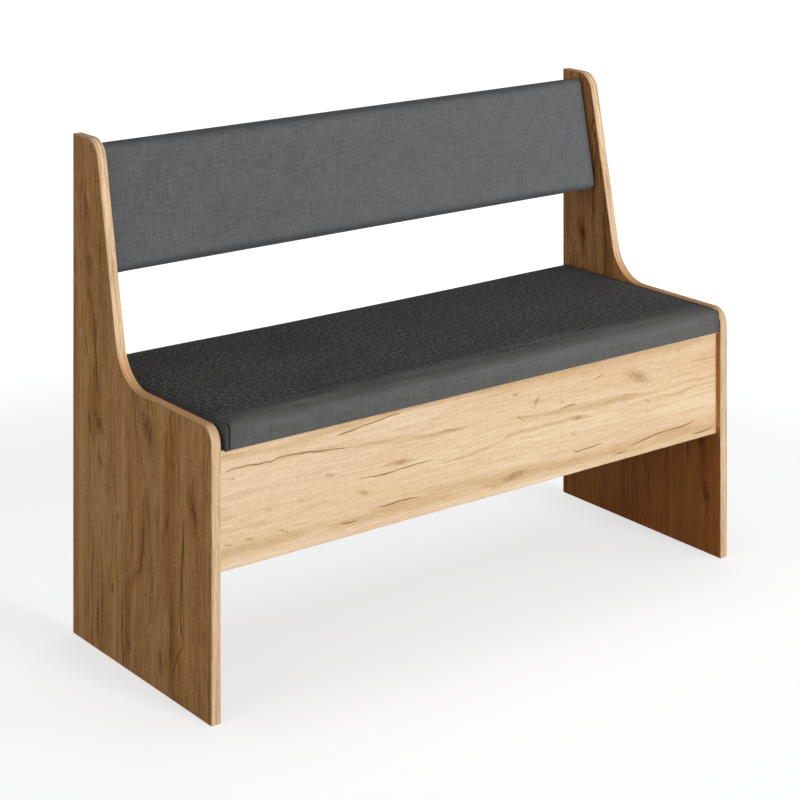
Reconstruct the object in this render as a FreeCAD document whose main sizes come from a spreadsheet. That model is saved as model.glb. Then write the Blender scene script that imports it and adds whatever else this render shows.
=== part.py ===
import FreeCAD, Part
import os
import Sketcher
from FreeCAD import Placement, Rotation, Vector

# An upholstered bench: two shaped board sides, a chest that hangs between them, a padded seat that
# lifts as the lid of the chest, and a padded backrest that leans with the sides.
# X runs along the bench, +Y points to its back and +Z up. The origin is on the floor, under the
# middle of the bench. Lengths are in millimetres.

SIZES = {
    # The whole bench, and the boards and edge bands that it is cut from
    "bench_length": 1196,
    "bench_height": 900,
    "side_depth": 464,
    "board": 18,
    "thick_band": 2,
    "thin_band": 1,
    # The outline of a side: a level arm, a slope up to a narrow top, and three rounded corners
    "arm_height": 487,
    "slope_foot_depth": 168,
    "slope_top_depth": 82.5,
    "front_corner_radius": 30,
    "arm_curve_radius": 80,
    "top_corner_radius": 40,
    # The chest
    "chest_ground_gap": 243,
    "front_panel_height": 200.5,
    "front_panel_setback": 12,
    "back_panel_inset": 62,
    "bottom_panel_rise": 10,
    # The seat pad
    "seat_overhang": 5,
    "seat_end_gap": 7,
    "seat_back_gap": 5,
    "seat_rest_gap": 0.3,
    "seat_edge_height": 45.2,
    "seat_crown": 4,
    "seat_front_radius": 21,
    "seat_rear_radius": 18,
    # The backrest pad, placed from the foot of the sides' slope
    "backrest_rise": 186,
    "backrest_setback": 22.5,
    "backrest_height": 230,
    "backrest_end_gap": 1,
    "backrest_edge_height": 44,
    "backrest_crown": 2.5,
    "backrest_edge_radius": 14,
    # The upholstery of both pads
    "cover": 1.2,
    "cover_margin": 24,
    "end_crown": 1,
    "end_drop": 3,
    "end_corner_radius": 5,
    "side_pull": 2,
    # Cam fittings
    "fitting_play": 0.1,
    "cam_diameter": 15,
    "cam_height": 13,
    "cam_slot_length": 9,
    "cam_slot_width": 1.6,
    "cam_slot_depth": 1.5,
    "cam_reach": 34,
    "bolt_bore": 8,
    "bolt_thread_length": 11,
    "bolt_diameter": 5,
    "bolt_head_diameter": 7,
    "bolt_head_length": 3,
    # The lid's hinges
    "hinge_leaf_length": 50,
    "hinge_leaf_width": 22,
    "hinge_leaf_thickness": 1.5,
    "hinge_barrel_diameter": 6,
    "hinge_barrel_gap": 0.3,
    "hinge_knuckle_length": 20,
    "hinge_knuckle_gap": 0.4,
    "hinge_pin_diameter": 3,
    "hinge_pin_play": 0.05,
}

# Stations of a pad's sections, and where its ends begin, as shares of half its length
PAD_STATION_SHARES = (-1, -0.97, -0.9, -0.45, 0.45, 0.9, 0.97, 1)
PAD_END_SHARE = 0.9
# The hinges along the seat, as shares of half its length
HINGE_SHARES = (-0.7, 0.7)
# The cam fittings across each board, as shares of its width
FRONT_CAM_SHARES = (0.3, 0.8)
BACK_CAM_SHARES = (0.5,)
BACKREST_CAM_SHARES = (0.2, 0.8)

doc = FreeCAD.newDocument("UpholsteredBench")
sheet = doc.addObject("Spreadsheet::Sheet", "Sizes")
for row, (alias, size) in enumerate(SIZES.items(), start=1):
    sheet.set(f"A{row}", alias)
    sheet.set(f"B{row}", str(size))
    sheet.setAlias(f"B{row}", alias)
doc.recompute()

# Places and sizes that follow from the sheet, as expressions on it
BACK = "((Sizes.side_depth + Sizes.seat_overhang) / 2)"
FRONT = f"({BACK} - Sizes.side_depth)"
INNER = "(Sizes.bench_length / 2 - Sizes.board)"
MID_BOARD = "(Sizes.board / 2)"
LEAN = ("((Sizes.slope_foot_depth - Sizes.slope_top_depth)"
        " / (Sizes.bench_height - Sizes.arm_height))")
LEAN_STRETCH = f"sqrt(1 + {LEAN} ^ 2)"
COS_LEAN = f"(1 / {LEAN_STRETCH})"
SIN_LEAN = f"({LEAN} / {LEAN_STRETCH})"

CHEST_TOP = "(Sizes.chest_ground_gap + Sizes.front_panel_height)"
PANEL_WIDTH = "(Sizes.front_panel_height - 2 * Sizes.thin_band)"
PANEL_LOW_EDGE = "(Sizes.chest_ground_gap + Sizes.thin_band)"
FRONT_PANEL_REAR = f"({FRONT} + Sizes.front_panel_setback + Sizes.board)"
BACK_PANEL_REAR = f"({BACK} - Sizes.back_panel_inset)"
BACK_PANEL_FRONT = f"({BACK_PANEL_REAR} - Sizes.board)"
BOTTOM_PANEL_Z = "(Sizes.chest_ground_gap + Sizes.bottom_panel_rise)"
CAM_X = f"({INNER} - Sizes.cam_reach)"

SEAT_FRONT = f"({FRONT} - Sizes.seat_overhang)"
SEAT_WIDTH = f"({BACK} - Sizes.seat_back_gap - {SEAT_FRONT})"
SEAT_HALF = f"({INNER} - Sizes.seat_end_gap)"
SEAT_BOTTOM = f"({CHEST_TOP} + Sizes.seat_rest_gap)"
SEAT_BOARD_Y = f"({SEAT_FRONT} + Sizes.cover)"
SEAT_BOARD_Z = f"({SEAT_BOTTOM} + Sizes.cover)"

BACKREST_HALF = f"({INNER} - Sizes.backrest_end_gap)"
BACKREST_DEPTH = "(Sizes.backrest_setback + Sizes.backrest_edge_height)"
BACKREST_Y = (f"({BACK} - Sizes.slope_foot_depth + Sizes.backrest_rise * {SIN_LEAN}"
              f" + {BACKREST_DEPTH} * {COS_LEAN})")
BACKREST_Z = f"(Sizes.arm_height + Sizes.backrest_rise * {COS_LEAN} - {BACKREST_DEPTH} * {SIN_LEAN})"

HINGE_OFFSET = "(Sizes.hinge_barrel_diameter / 2 + Sizes.hinge_barrel_gap)"
HINGE_Y = f"({BACK_PANEL_REAR} + {HINGE_OFFSET})"
HINGE_Z = f"({SEAT_BOARD_Z} - {HINGE_OFFSET})"

# Turns about X, as an angle and its cosine and sine
LEVEL = ("0 deg", "1", "0")
UPRIGHT = ("90 deg", "0", "1")
LEANING = (f"(90 deg - atan({LEAN}))", SIN_LEAN, COS_LEAN)


def number(expression):
    """The value of an expression on the sheet."""
    return float(sheet.evalExpression(expression))


def placed(x="0", y="0", z="0", turn="0 deg"):
    """The expression of a placement: a turn about X, then a move."""
    return f"placement(vector({x}; {y}; {z}); rotation(vector(1; 0; 0); {turn}))"


def moved(x=0, y=0, z=0, axis=Vector(0, 0, 1), angle=0):
    return Placement(Vector(x, y, z), Rotation(axis, angle))


def new_body(label, placement=None):
    body = doc.addObject("PartDesign::Body", label)
    body.Label = label
    if placement:
        body.setExpression("Placement", placement)
    return body


def origin_plane(body, role):
    return next(feature for feature in body.Origin.OriginFeatures if feature.Role == role)


def new_sketch(body, role, name, offset=None):
    """A sketch on one of the body's own origin planes, or at an offset along the plane's normal."""
    sketch = body.newObject("Sketcher::SketchObject", name)
    sketch.AttachmentSupport = (origin_plane(body, role), [""])
    sketch.MapMode = "FlatFace"
    if offset:
        sketch.setExpression("AttachmentOffset.Base.z", offset)
    return sketch


def hold(sketch, geometry, point, place):
    """Tie a point of a sketch to a place given by two expressions."""
    for kind, expression in zip(("DistanceX", "DistanceY"), place):
        constraint = Sketcher.Constraint(kind, -1, 1, geometry, point, number(expression))
        index = sketch.addConstraint(constraint)
        sketch.setExpression(f"Constraints[{index}]", expression)


def draw_outline(sketch, places):
    """A closed outline of straight lines."""
    corners = [Vector(number(a), number(b), 0) for a, b in places]
    following = corners[1:] + corners[:1]
    for start, end in zip(corners, following):
        sketch.addGeometry(Part.LineSegment(start, end))
    for i in range(len(corners)):
        sketch.addConstraint(Sketcher.Constraint("Coincident", i, 2, (i + 1) % len(corners), 1))
    for i, place in enumerate(places):
        hold(sketch, i, 1, place)


def draw_circles(sketch, centres, diameter):
    for place in centres:
        centre = Vector(number(place[0]), number(place[1]), 0)
        circle = Part.Circle(centre, Vector(0, 0, 1), number(diameter) / 2)
        index = sketch.addGeometry(circle)
        hold(sketch, index, 3, place)
        width = sketch.addConstraint(Sketcher.Constraint("Diameter", index, number(diameter)))
        sketch.setExpression(f"Constraints[{width}]", diameter)


def pad(body, sketch, length):
    feature = body.newObject("PartDesign::Pad", sketch.Name + "_pad")
    feature.Profile = sketch
    feature.setExpression("Length", length)
    doc.recompute()
    return feature


def pocket(body, sketch, depth, along_normal=False):
    """A blind pocket, which has to take some of the body away."""
    before = body.Shape.Volume
    feature = body.newObject("PartDesign::Pocket", sketch.Name + "_pocket")
    feature.Profile = sketch
    feature.Reversed = along_normal
    feature.setExpression("Length", depth)
    doc.recompute()
    if body.Shape.Volume >= before:
        raise ValueError(f"{sketch.Name} cuts nothing")
    return feature


def bore(body, role, name, centres, diameter, depth, offset=None, along_normal=False):
    """Blind round bores from one plane of a body."""
    sketch = new_sketch(body, role, name, offset)
    draw_circles(sketch, centres, diameter)
    return pocket(body, sketch, depth, along_normal)


def turned_body(label, profile, role, axis_role):
    """A solid of revolution from half its section."""
    body = new_body(label)
    sketch = new_sketch(body, role, label + "_section")
    draw_outline(sketch, profile)
    feature = body.newObject("PartDesign::Revolution", label + "_turn")
    feature.Profile = sketch
    feature.ReferenceAxis = (origin_plane(body, axis_role), [""])
    feature.Angle = 360
    doc.recompute()
    return body


def group(label, pattern, places):
    """Copies of one pattern as the separate solids of one sub-part."""
    feature = doc.addObject("Part::Feature", label)
    feature.Label = label
    copies = []
    for place in places:
        copy = pattern.Shape.copy()
        copy.Placement = place
        copies.append(copy)
    feature.Shape = Part.makeCompound(copies)
    return feature


def primitive(kind, label, placement, **sizes):
    """A box, cylinder or cone with its sizes and place bound to the sheet."""
    shape = doc.addObject("Part::" + kind, label)
    shape.Label = label
    for name, expression in sizes.items():
        shape.setExpression(name, expression)
    shape.setExpression("Placement", placement)
    return shape


def fused(label, shapes):
    union = doc.addObject("Part::MultiFuse", label)
    union.Label = label
    union.Shapes = shapes
    doc.recompute()
    return union


def cut(label, base, tool):
    difference = doc.addObject("Part::Cut", label)
    difference.Label = label
    difference.Base = base
    difference.Tool = tool
    doc.recompute()
    return difference


def mirrored(label, source):
    """The same piece at the other end of the bench."""
    mirror = doc.addObject("Part::Mirroring", label)
    mirror.Label = label
    mirror.Source = source
    mirror.Normal = Vector(1, 0, 0)
    doc.recompute()
    return mirror


# Boards that lie along X, with their width along the body's own Y and one face at its z = 0
def plain_board(label, half_length, width, placement):
    body = new_body(label, placement)
    sketch = new_sketch(body, "XY_Plane", label + "_outline")
    draw_outline(sketch, [(f"-{half_length}", "0"), (half_length, "0"),
                          (half_length, width), (f"-{half_length}", width)])
    pad(body, sketch, "Sizes.board")
    return body


# A board that cam fittings hold between the two sides. Its cam face is its own z = 0.
class FittedBoard:
    def __init__(self, label, half_length, width, y, z, turn, cam_shares):
        self.label = label
        self.half_length = half_length
        self.width = width
        self.y = y
        self.z = z
        self.turn, self.cosine, self.sine = turn
        self.runs = [f"({share} * {width})" for share in cam_shares]
        self.body = None

    def bolt_spots(self):
        """Where the bolts meet a side, as Y and Z."""
        return [(f"({self.y} + {run} * {self.cosine} - {MID_BOARD} * {self.sine})",
                 f"({self.z} + {run} * {self.sine} + {MID_BOARD} * {self.cosine})")
                for run in self.runs]

    def build(self):
        """The board, with its cam bores and with a bolt bore from the end of the board to each."""
        place = placed(y=self.y, z=self.z, turn=self.turn)
        self.body = plain_board(self.label, self.half_length, self.width, place)
        features = [
            bore(self.body, "XY_Plane", self.label + "_cam_bores",
                 [(CAM_X, run) for run in self.runs],
                 "Sizes.cam_diameter + 2 * Sizes.fitting_play",
                 "Sizes.cam_height + Sizes.fitting_play", along_normal=True),
            bore(self.body, "YZ_Plane", self.label + "_bolt_bores",
                 [(run, MID_BOARD) for run in self.runs], "Sizes.bolt_bore",
                 f"{self.half_length} - {CAM_X}", self.half_length),
        ]
        mirror = self.body.newObject("PartDesign::Mirrored", self.label + "_other_end")
        mirror.Originals = features
        mirror.MirrorPlane = (origin_plane(self.body, "YZ_Plane"), [""])
        self.body.Tip = mirror
        doc.recompute()

    def fitting_places(self, x, z):
        """Placements of fittings at both ends, each turned to face its own side."""
        places = []
        for run in self.runs:
            for end, angle in ((1, 0), (-1, 180)):
                local = moved(end * number(x), number(run), number(z), angle=angle)
                places.append(self.body.Placement.multiply(local))
        return places


front_board = FittedBoard("front_panel", INNER, PANEL_WIDTH, FRONT_PANEL_REAR, PANEL_LOW_EDGE,
                          UPRIGHT, FRONT_CAM_SHARES)
back_board = FittedBoard("back_panel", INNER, PANEL_WIDTH, BACK_PANEL_REAR, PANEL_LOW_EDGE,
                         UPRIGHT, BACK_CAM_SHARES)
backrest_board = FittedBoard("backrest_board", f"({BACKREST_HALF} - Sizes.cover)",
                             "(Sizes.backrest_height - 2 * Sizes.cover)",
                             f"({BACKREST_Y} + Sizes.cover * ({SIN_LEAN} - {COS_LEAN}))",
                             f"({BACKREST_Z} + Sizes.cover * ({COS_LEAN} + {SIN_LEAN}))",
                             LEANING, BACKREST_CAM_SHARES)
FITTED_BOARDS = (front_board, back_board, backrest_board)
for fitted in FITTED_BOARDS:
    fitted.build()

bottom_board = plain_board("bottom_panel", INNER, f"({BACK_PANEL_FRONT} - {FRONT_PANEL_REAR})",
                           placed(y=FRONT_PANEL_REAR, z=BOTTOM_PANEL_Z))
seat_board = plain_board("seat_board", f"({SEAT_HALF} - Sizes.cover)",
                         f"({SEAT_WIDTH} - 2 * Sizes.cover)", placed(y=SEAT_BOARD_Y, z=SEAT_BOARD_Z))


# The sides: a core board, a thick band along its front, arm, slope and top, and a strip of the
# same band down its back edge
def side_corners(front_inset, back_inset):
    """The corners of a side's outline, from the floor at the front to the floor at the back."""
    slope_shift = f"({LEAN_STRETCH} - {LEAN}) * {front_inset}"
    front = f"({FRONT} + {front_inset})"
    arm = f"(Sizes.arm_height - {front_inset})"
    top = f"(Sizes.bench_height - {front_inset})"
    back = f"({BACK} - {back_inset})"
    return [(front, "0"), (front, arm),
            (f"({BACK} - Sizes.slope_foot_depth + {slope_shift})", arm),
            (f"({BACK} - Sizes.slope_top_depth + {slope_shift})", top),
            (back, top), (back, "0")]


def edge_at(shape, place):
    """The name of the edge that runs along X through a corner of the outline."""
    y, z = (number(expression) for expression in place)
    reach = shape.BoundBox.DiagonalLength
    distances = []
    for index, edge in enumerate(shape.Edges, start=1):
        off = max(max(abs(vertex.Point.y - y), abs(vertex.Point.z - z)) for vertex in edge.Vertexes)
        distances.append((off / reach, index))
    return f"Edge{min(distances)[1]}"


def side_board(label, front_inset, back_inset):
    body = new_body(label, placed(x="-Sizes.bench_length / 2"))
    sketch = new_sketch(body, "YZ_Plane", label + "_outline")
    corners = side_corners(front_inset, back_inset)
    draw_outline(sketch, corners)
    base = pad(body, sketch, "Sizes.board")
    rounded = ((corners[1], f"Sizes.front_corner_radius - {front_inset}"),
               (corners[2], f"Sizes.arm_curve_radius + {front_inset}"),
               (corners[3], f"Sizes.top_corner_radius - {front_inset}"))
    for count, (corner, radius) in enumerate(rounded, start=1):
        fillet = body.newObject("PartDesign::Fillet", f"{label}_round_{count}")
        fillet.Base = (base, [edge_at(base.Shape, corner)])
        fillet.setExpression("Radius", radius)
        doc.recompute()
        base = fillet
    return body


BAND = "Sizes.thick_band"
side_panel = side_board("side_panel_left", BAND, BAND)
bore(side_panel, "YZ_Plane", "side_bolt_bores",
     [spot for fitted in FITTED_BOARDS for spot in fitted.bolt_spots()],
     "Sizes.bolt_diameter + 2 * Sizes.fitting_play",
     "Sizes.bolt_thread_length + Sizes.fitting_play", "Sizes.board")
front_band = cut("front_edge_band_left", side_board("side_full_outline", "0", "0"),
                 side_board("side_without_front_band", BAND, "0"))
back_band = primitive("Box", "back_edge_band_left",
                      placed(x="-Sizes.bench_length / 2", y=f"{BACK} - {BAND}"),
                      Length="Sizes.board", Width=BAND, Height=f"Sizes.bench_height - {BAND}")
sides = [side_panel, front_band, back_band]
sides += [mirrored(piece.Label.replace("left", "right"), piece) for piece in list(sides)]


# Thin bands along the lower and upper edges of the front and back panels
def panel_bands(label, face_y):
    strips = []
    for name, z in (("low", "Sizes.chest_ground_gap"), ("high", f"{CHEST_TOP} - Sizes.thin_band")):
        place = placed(x=f"-{INNER}", y=face_y, z=z)
        strips.append(primitive("Box", f"{label}_{name}", place, Length=f"2 * {INNER}",
                                Width="Sizes.board", Height="Sizes.thin_band"))
    doc.recompute()
    bands = doc.addObject("Part::Compound", label)
    bands.Label = label
    bands.Links = strips
    doc.recompute()
    return bands


panel_strips = [panel_bands("front_panel_bands", f"{FRONT_PANEL_REAR} - Sizes.board"),
                panel_bands("back_panel_bands", BACK_PANEL_FRONT)]

# Cam disc: a screwdriver slot in its open face at z = 0, and from behind a window that opens
# towards +X, where the bolt's head enters
HEAD_HALF = "(Sizes.bolt_head_length / 2)"
WINDOW_SIDE = "(Sizes.bolt_head_diameter / 2 + Sizes.fitting_play)"
cam = new_body("cam_pattern")
cam_outline = new_sketch(cam, "XY_Plane", "cam_outline")
draw_circles(cam_outline, [("0", "0")], "Sizes.cam_diameter")
pad(cam, cam_outline, "Sizes.cam_height")


def cam_cut(name, low, high, depth, offset=None, along_normal=False):
    """A rectangular recess in the cam between two corners."""
    sketch = new_sketch(cam, "XY_Plane", name, offset)
    draw_outline(sketch, [low, (high[0], low[1]), high, (low[0], high[1])])
    pocket(cam, sketch, depth, along_normal)


cam_cut("cam_slot", ("-Sizes.cam_slot_length / 2", "-Sizes.cam_slot_width / 2"),
        ("Sizes.cam_slot_length / 2", "Sizes.cam_slot_width / 2"),
        "Sizes.cam_slot_depth", along_normal=True)
cam_cut("cam_window", (f"-{HEAD_HALF} - Sizes.fitting_play", f"-{WINDOW_SIDE}"),
        ("Sizes.cam_diameter / 2", WINDOW_SIDE),
        f"Sizes.cam_height - {MID_BOARD} + {WINDOW_SIDE}", "Sizes.cam_height")

# Cam bolt: it screws into the side along +X, and its head lies in the cam
HEAD_START = f"(Sizes.cam_reach - {HEAD_HALF})"
HEAD_END = f"(Sizes.cam_reach + {HEAD_HALF})"
bolt = turned_body("bolt_pattern", [
    (f"-{HEAD_END}", "0"),
    ("Sizes.bolt_thread_length", "0"),
    ("Sizes.bolt_thread_length", "Sizes.bolt_diameter / 2"),
    (f"-{HEAD_START}", "Sizes.bolt_diameter / 2"),
    (f"-{HEAD_START}", "Sizes.bolt_head_diameter / 2"),
    (f"-{HEAD_END}", "Sizes.bolt_head_diameter / 2"),
], "XY_Plane", "X_Axis")

cam_places = []
bolt_places = []
for fitted in FITTED_BOARDS:
    cam_places += fitted.fitting_places(CAM_X, "0")
    bolt_places += fitted.fitting_places(INNER, MID_BOARD)
fittings = [group("cam_discs", cam, cam_places), group("cam_bolts", bolt, bolt_places)]


# The upholstered pads. A pad's own frame has X along it, Y across it and Z out of its board's
# underside, so that the board lies on z = cover and the foam crowns above it.
class Pad:
    def __init__(self, half_length, width, edge_height, crown, low_radius, high_radius):
        self.half_length = number(half_length)
        self.width = number(width)
        self.edge_height = number(edge_height)
        self.crown = number(crown)
        self.low_radius = number(low_radius)
        self.high_radius = number(high_radius)

    def section(self, share, inset, underside):
        """A section across the pad: sides that draw in, rounded edges and a crowned top.

        The edges keep their radius as far as the pad's ends, where they tighten to square corners.
        """
        fullness = 1 - share ** 2
        end = max(0, (abs(share) - PAD_END_SHARE) / (1 - PAD_END_SHARE)) ** 2
        x = share * (self.half_length - inset)
        top = self.edge_height - inset - number("Sizes.end_drop") * end
        crown = number("Sizes.end_crown") + self.crown * fullness
        pull = number("Sizes.side_pull") * fullness
        tight = number("Sizes.end_corner_radius")
        low = self.low_radius - (self.low_radius - tight) * end - inset
        high = self.high_radius - (self.high_radius - tight) * end - inset
        front = inset
        back = self.width - inset

        def at(y, z):
            return Vector(x, y, z)

        def rounded(start, middle, end_point):
            return Part.Arc(start, middle, end_point).toShape()

        def line(start, end_point):
            return Part.LineSegment(start, end_point).toShape()

        diagonal = 0.5 ** 0.5
        low_foot = at(front, underside)
        low_side = at(front + pull, top - low)
        low_middle = at(front + pull + low * (1 - diagonal), top - low * (1 - diagonal))
        low_top = at(front + pull + low, top)
        high_top = at(back - pull - high, top)
        high_middle = at(back - pull - high * (1 - diagonal), top - high * (1 - diagonal))
        high_side = at(back - pull, top - high)
        high_foot = at(back, underside)
        summit = at((low_top.y + high_top.y) / 2, top + crown)
        return Part.Wire([line(low_foot, low_side), rounded(low_side, low_middle, low_top),
                          rounded(low_top, summit, high_top),
                          rounded(high_top, high_middle, high_side),
                          line(high_side, high_foot), line(high_foot, low_foot)])

    def solid(self, inset, underside):
        sections = [self.section(share, inset, underside) for share in PAD_STATION_SHARES]
        return Part.makeLoft(sections, True, True)

    def foam(self):
        cover = number("Sizes.cover")
        return self.solid(cover, cover + number("Sizes.board"))

    def board_space(self):
        cover = number("Sizes.cover")
        size = (2 * (self.half_length - cover), self.width - 2 * cover, number("Sizes.board"))
        return Part.makeBox(*size, Vector(cover - self.half_length, cover, cover))

    def cover(self, bores):
        """The fabric round the foam and the board, turned in under the board by a margin."""
        margin = number("Sizes.cover_margin")
        window = Part.makeBox(2 * (self.half_length - margin), self.width - 2 * margin,
                              number("Sizes.cover"), Vector(margin - self.half_length, margin, 0))
        return self.solid(0, 0).cut([self.foam(), self.board_space(), window] + bores)


def soft_piece(label, shape, placement):
    feature = doc.addObject("Part::Feature", label)
    feature.Label = label
    feature.Shape = shape
    feature.setExpression("Placement", placement)
    return feature


seat_pad = Pad(SEAT_HALF, SEAT_WIDTH, "Sizes.seat_edge_height", "Sizes.seat_crown",
               "Sizes.seat_front_radius", "Sizes.seat_rear_radius")
seat_place = placed(y=SEAT_FRONT, z=SEAT_BOTTOM)
backrest_pad = Pad(BACKREST_HALF, "Sizes.backrest_height", "Sizes.backrest_edge_height",
                   "Sizes.backrest_crown", "Sizes.backrest_edge_radius",
                   "Sizes.backrest_edge_radius")
backrest_place = placed(y=BACKREST_Y, z=BACKREST_Z, turn=LEANING[0])

# The backrest's bolts pass through the cover at its ends
end_bores = []
for run in backrest_board.runs:
    start = Vector(-backrest_pad.half_length, number(f"Sizes.cover + {run}"),
                   number(f"Sizes.cover + {MID_BOARD}"))
    end_bores.append(Part.makeCylinder(number("Sizes.bolt_bore / 2"), 2 * backrest_pad.half_length,
                                       start, Vector(1, 0, 0)))

upholstery = [soft_piece("seat_foam", seat_pad.foam(), seat_place),
              soft_piece("seat_cover", seat_pad.cover([]), seat_place),
              soft_piece("backrest_foam", backrest_pad.foam(), backrest_place),
              soft_piece("backrest_cover", backrest_pad.cover(end_bores), backrest_place)]

# Hinges, modelled about their own pin axis: the frame leaf hangs down the back panel with a knuckle
# at each end, and the lid leaf runs back under the seat board with one knuckle in the middle
LEAF_END = "(Sizes.hinge_leaf_length / 2)"
BARREL_RADIUS = "(Sizes.hinge_barrel_diameter / 2)"
BORE_RADIUS = "(Sizes.hinge_pin_diameter / 2 + Sizes.hinge_pin_play)"
KNUCKLE_END = "(Sizes.hinge_knuckle_length / 2)"
LEAF_FACE = f"({HINGE_OFFSET} - Sizes.hinge_leaf_thickness)"
# How far a notch reaches round the other leaf's barrel
NOTCH = f"({BARREL_RADIUS} + Sizes.hinge_knuckle_gap)"


def along_x(label, radius, half_length):
    """A cylinder along the pin axis."""
    place = (f"placement(vector(-{half_length}; 0; 0);"
             f" rotation(vector(0; 1; 0); 90 deg))")
    return primitive("Cylinder", label, place, Radius=radius, Height=f"2 * {half_length}")


def box_between(label, low, high):
    """A box between two corners given by expressions."""
    sizes = [f"({b}) - ({a})" for a, b in zip(low, high)]
    return primitive("Box", label, placed(*low), Length=sizes[0], Width=sizes[1], Height=sizes[2])


frame_plate = box_between("frame_plate",
                          (f"-{LEAF_END}", f"-{HINGE_OFFSET}", "-Sizes.hinge_leaf_width"),
                          (LEAF_END, f"-{LEAF_FACE}", "0"))
frame_notch = box_between("frame_notch",
                          (f"-{KNUCKLE_END} - Sizes.hinge_knuckle_gap", f"-{NOTCH}", f"-{NOTCH}"),
                          (f"{KNUCKLE_END} + Sizes.hinge_knuckle_gap", NOTCH, NOTCH))
frame_barrel = along_x("frame_barrel", BARREL_RADIUS, LEAF_END)
frame_bore = along_x("frame_pin_bore", BORE_RADIUS, LEAF_END)
frame_leaf = cut("frame_leaf_pattern", fused("frame_leaf_blank", [frame_plate, frame_barrel]),
                 fused("frame_leaf_tools", [frame_notch, frame_bore]))

lid_plate = box_between("lid_plate", (f"-{LEAF_END}", "0", LEAF_FACE),
                        (LEAF_END, "Sizes.hinge_leaf_width", HINGE_OFFSET))
lid_barrel = along_x("lid_barrel", BARREL_RADIUS, LEAF_END)
lid_tools = [along_x("lid_pin_bore", BORE_RADIUS, LEAF_END)]
for name, start, end in (("low", f"-{LEAF_END}", f"-{KNUCKLE_END}"), ("high", KNUCKLE_END, LEAF_END)):
    lid_tools.append(box_between("lid_notch_" + name, (start, f"-{NOTCH}", f"-{NOTCH}"),
                                 (end, NOTCH, NOTCH)))
lid_leaf = cut("lid_leaf_pattern", fused("lid_leaf_blank", [lid_plate, lid_barrel]),
               fused("lid_leaf_tools", lid_tools))
hinge_pin = along_x("hinge_pin_pattern", "Sizes.hinge_pin_diameter / 2", LEAF_END)
doc.recompute()


def on_hinges(pattern):
    """The pattern's own place, moved to each hinge's pin axis."""
    axes = [moved(share * number(SEAT_HALF), number(HINGE_Y), number(HINGE_Z))
            for share in HINGE_SHARES]
    return [axis.multiply(pattern.Placement) for axis in axes]


hinges = [group("hinge_frame_leaves", frame_leaf, on_hinges(frame_leaf)),
          group("hinge_lid_leaves", lid_leaf, on_hinges(lid_leaf)),
          group("hinge_pins", hinge_pin, on_hinges(hinge_pin))]

pieces = sides + [fitted.body for fitted in FITTED_BOARDS] + [bottom_board] + panel_strips
pieces += fittings + [seat_board] + upholstery + hinges
doc.recompute()

for item in doc.Objects:
    if "Invalid" in item.State or "Error" in item.State:
        raise ValueError(f"{item.Label} failed: {item.State}")
for piece in pieces:
    if piece.Shape.isNull() or not piece.Shape.isValid():
        raise ValueError(f"{piece.Label} has no valid shape")

os.makedirs("parts", exist_ok=True)
for piece in pieces:
    piece.Shape.exportStep(os.path.join("parts", piece.Label + ".step"))
    box = piece.Shape.BoundBox
    print(f"{piece.Label}: {len(piece.Shape.Solids)} solids, {piece.Shape.Volume:.0f} mm3,"
          f" z {box.ZMin:.1f} to {box.ZMax:.1f}")
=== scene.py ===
import bmesh
import bpy
import math
import random
from mathutils import Matrix, Vector, noise
from types import SimpleNamespace


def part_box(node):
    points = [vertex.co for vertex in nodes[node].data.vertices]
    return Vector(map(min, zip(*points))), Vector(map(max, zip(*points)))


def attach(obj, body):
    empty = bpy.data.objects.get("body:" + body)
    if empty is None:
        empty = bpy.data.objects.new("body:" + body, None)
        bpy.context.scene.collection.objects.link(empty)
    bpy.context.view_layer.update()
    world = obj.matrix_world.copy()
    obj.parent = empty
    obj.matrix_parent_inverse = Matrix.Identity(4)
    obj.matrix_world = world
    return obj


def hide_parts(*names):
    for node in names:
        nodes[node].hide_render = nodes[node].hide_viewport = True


# An upholstered bench: two oak-effect board sides, a board chest between them, a padded seat that
# lifts as the chest's lid, and a padded backrest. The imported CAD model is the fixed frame.
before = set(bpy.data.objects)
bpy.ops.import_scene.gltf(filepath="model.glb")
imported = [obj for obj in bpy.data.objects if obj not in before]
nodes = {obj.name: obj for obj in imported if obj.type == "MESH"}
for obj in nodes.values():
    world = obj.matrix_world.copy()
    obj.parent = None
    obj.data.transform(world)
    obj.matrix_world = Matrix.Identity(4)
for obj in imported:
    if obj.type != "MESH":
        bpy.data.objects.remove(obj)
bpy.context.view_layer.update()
MM = 0.001
X, Y, Z = range(3)

# The two sides: 18 mm chipboard faced with an oak-effect print whose grain stands upright, sawn to
# shape and stood on their raw lower edges. The print's cracks and knots lie where each board was cut.
BLACK = (0, 0, 0, 1)
WHITE = (1, 1, 1, 1)


class Value:
    """A node's output. A plain sum of such values adds its own nodes to their tree."""

    def __init__(self, tree, socket):
        self.tree = tree
        self.socket = socket

    def __add__(self, other):
        return calc("ADD", self, other)

    def __sub__(self, other):
        return calc("SUBTRACT", self, other)

    def __rsub__(self, other):
        return calc("SUBTRACT", other, self)

    def __mul__(self, other):
        return calc("MULTIPLY", self, other)

    def __truediv__(self, other):
        return calc("DIVIDE", self, other)

    def __pow__(self, other):
        return calc("POWER", self, other)

    def __abs__(self):
        return calc("ABSOLUTE", self)


def put(kind, feeds, *outputs, tree=None, **settings):
    """A new node in this tree or in that of the values that feed it, with its settings made and its
    inputs set or linked. It gives its first output, or those that are asked for."""
    tree = tree or next(value.tree for value in feeds.values() if isinstance(value, Value))
    made = tree.nodes.new("ShaderNode" + kind)
    for name, value in settings.items():
        setattr(made, name, value)
    for name, value in feeds.items():
        if isinstance(value, Value):
            tree.links.new(value.socket, made.inputs[name])
        else:
            made.inputs[name].default_value = value
    found = [Value(tree, made.outputs[output]) for output in outputs or [0]]
    return found if outputs[1:] else found[0]


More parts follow.
